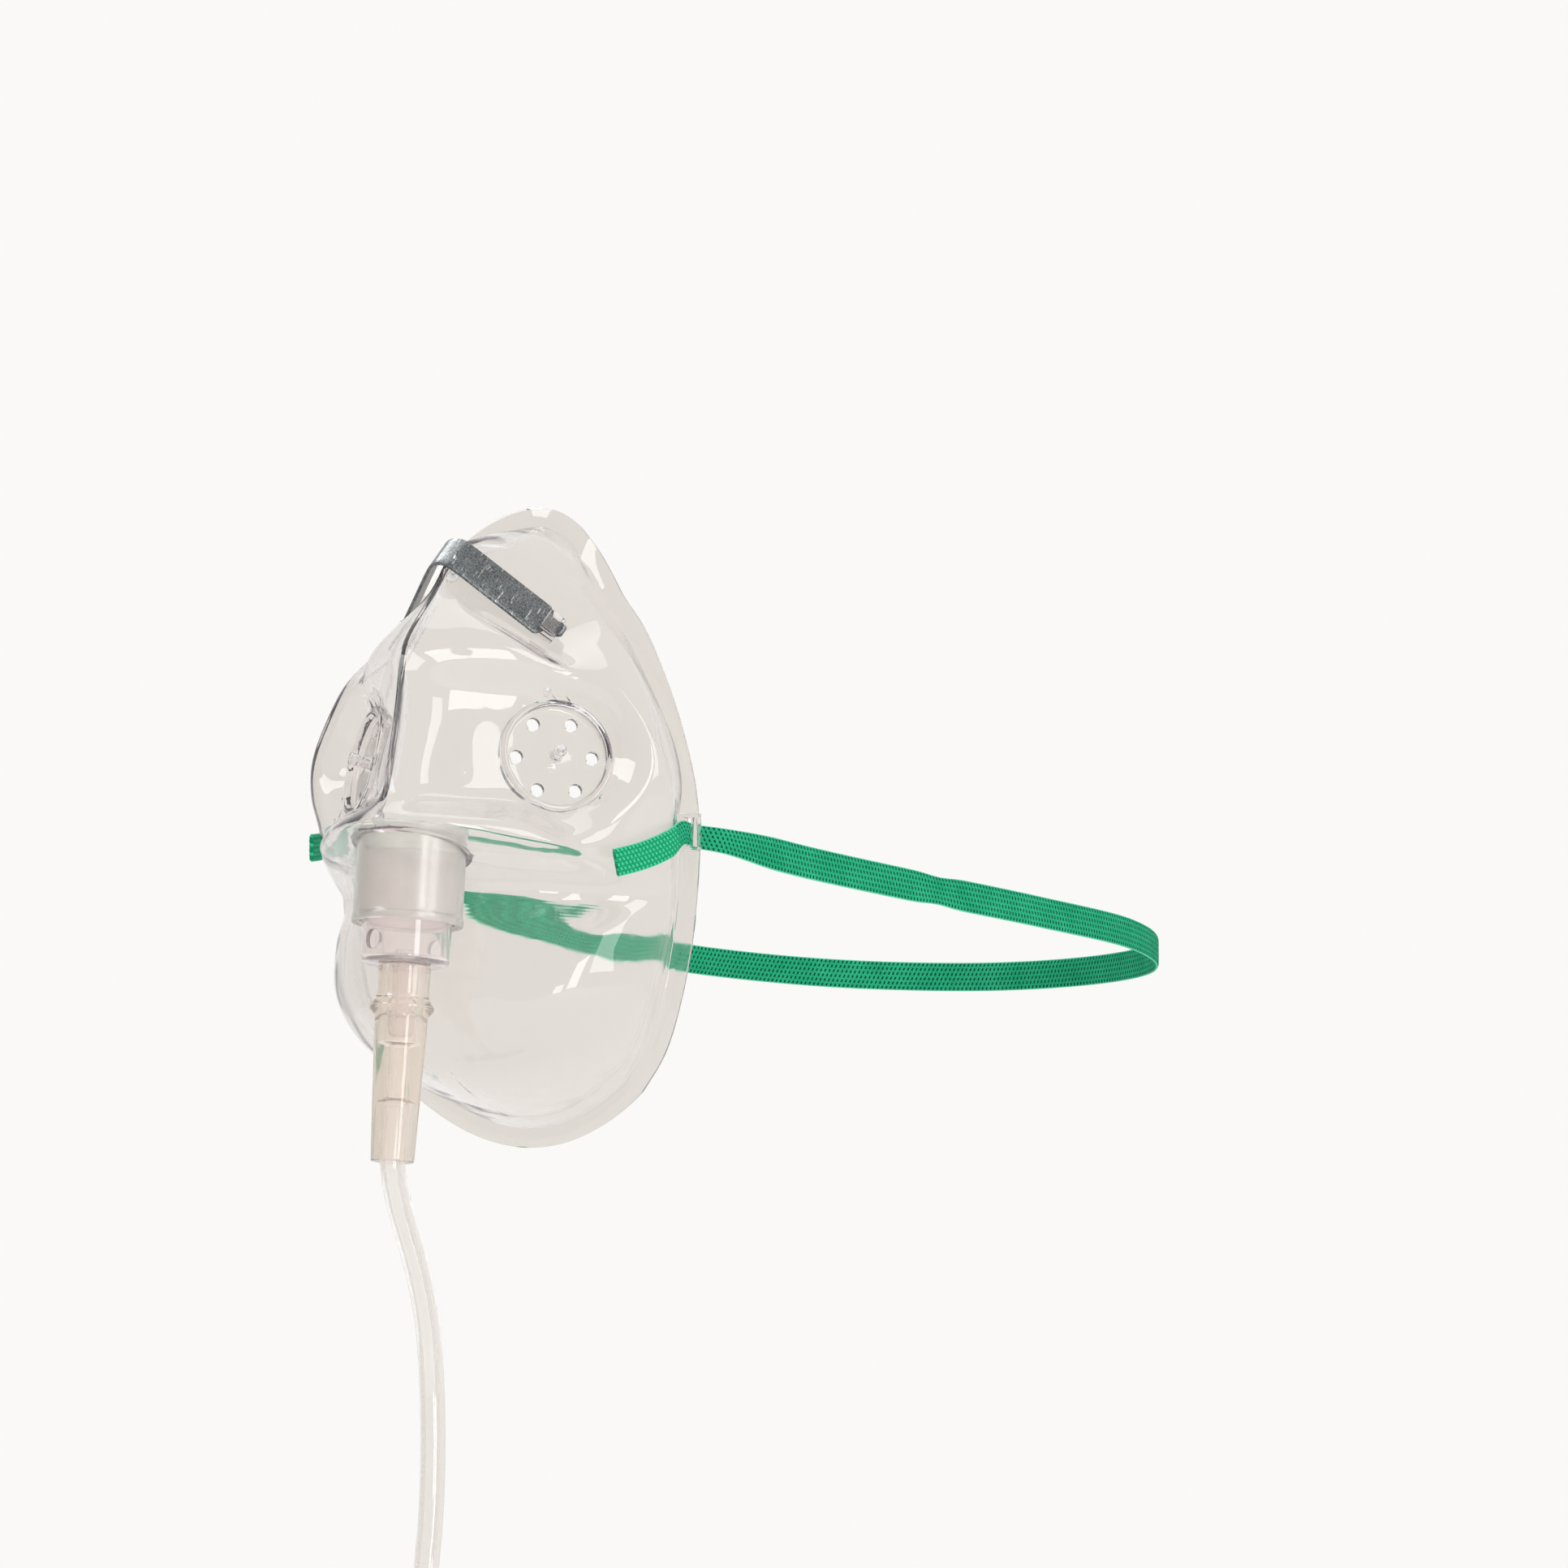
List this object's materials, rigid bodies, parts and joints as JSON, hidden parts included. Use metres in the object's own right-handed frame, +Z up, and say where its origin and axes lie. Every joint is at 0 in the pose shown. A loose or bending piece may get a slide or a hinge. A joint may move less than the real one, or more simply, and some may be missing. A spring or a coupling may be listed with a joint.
{
  "type": "oxygen face mask",
  "caption": "Clear oxygen face mask with side vents, an aluminium nose clip, an elastic head strap and a supply tube wound in a tied coil.",
  "frame": {"origin": "middle of the rim plane that seals on the face, half way between the top and bottom of the mask and on its middle plane", "axes": "+X to the wearer's left, +Y back through the wearer's head, +Z up towards the bridge of the nose"},
  "size_m": [0.151, 0.2807, 0.3472],
  "materials": {
    "mask_shell": "clear moulded PVC",
    "nose_clip": "plain rolled strip with fine scratches",
    "inlet_adapter": "clear moulded plastic",
    "tube_cuff": "soft PVC with an amber tint",
    "oxygen_tube": "clear extruded PVC",
    "tube_coil": "clear extruded PVC",
    "coil_tie": "plain white band",
    "supply_cuff": "soft PVC with an amber tint",
    "head_strap": "ribbed woven elastic"
  },
  "bodies": {
    "root": {"mask_shell": "mask_shell", "nose_clip": "nose_clip", "inlet_adapter": "inlet_adapter", "tube_cuff": "tube_cuff", "oxygen_tube": "oxygen_tube", "tube_coil": "tube_coil", "coil_tie": "coil_tie", "supply_cuff": "supply_cuff", "head_strap": "head_strap"}
  },
  "joints": []
}
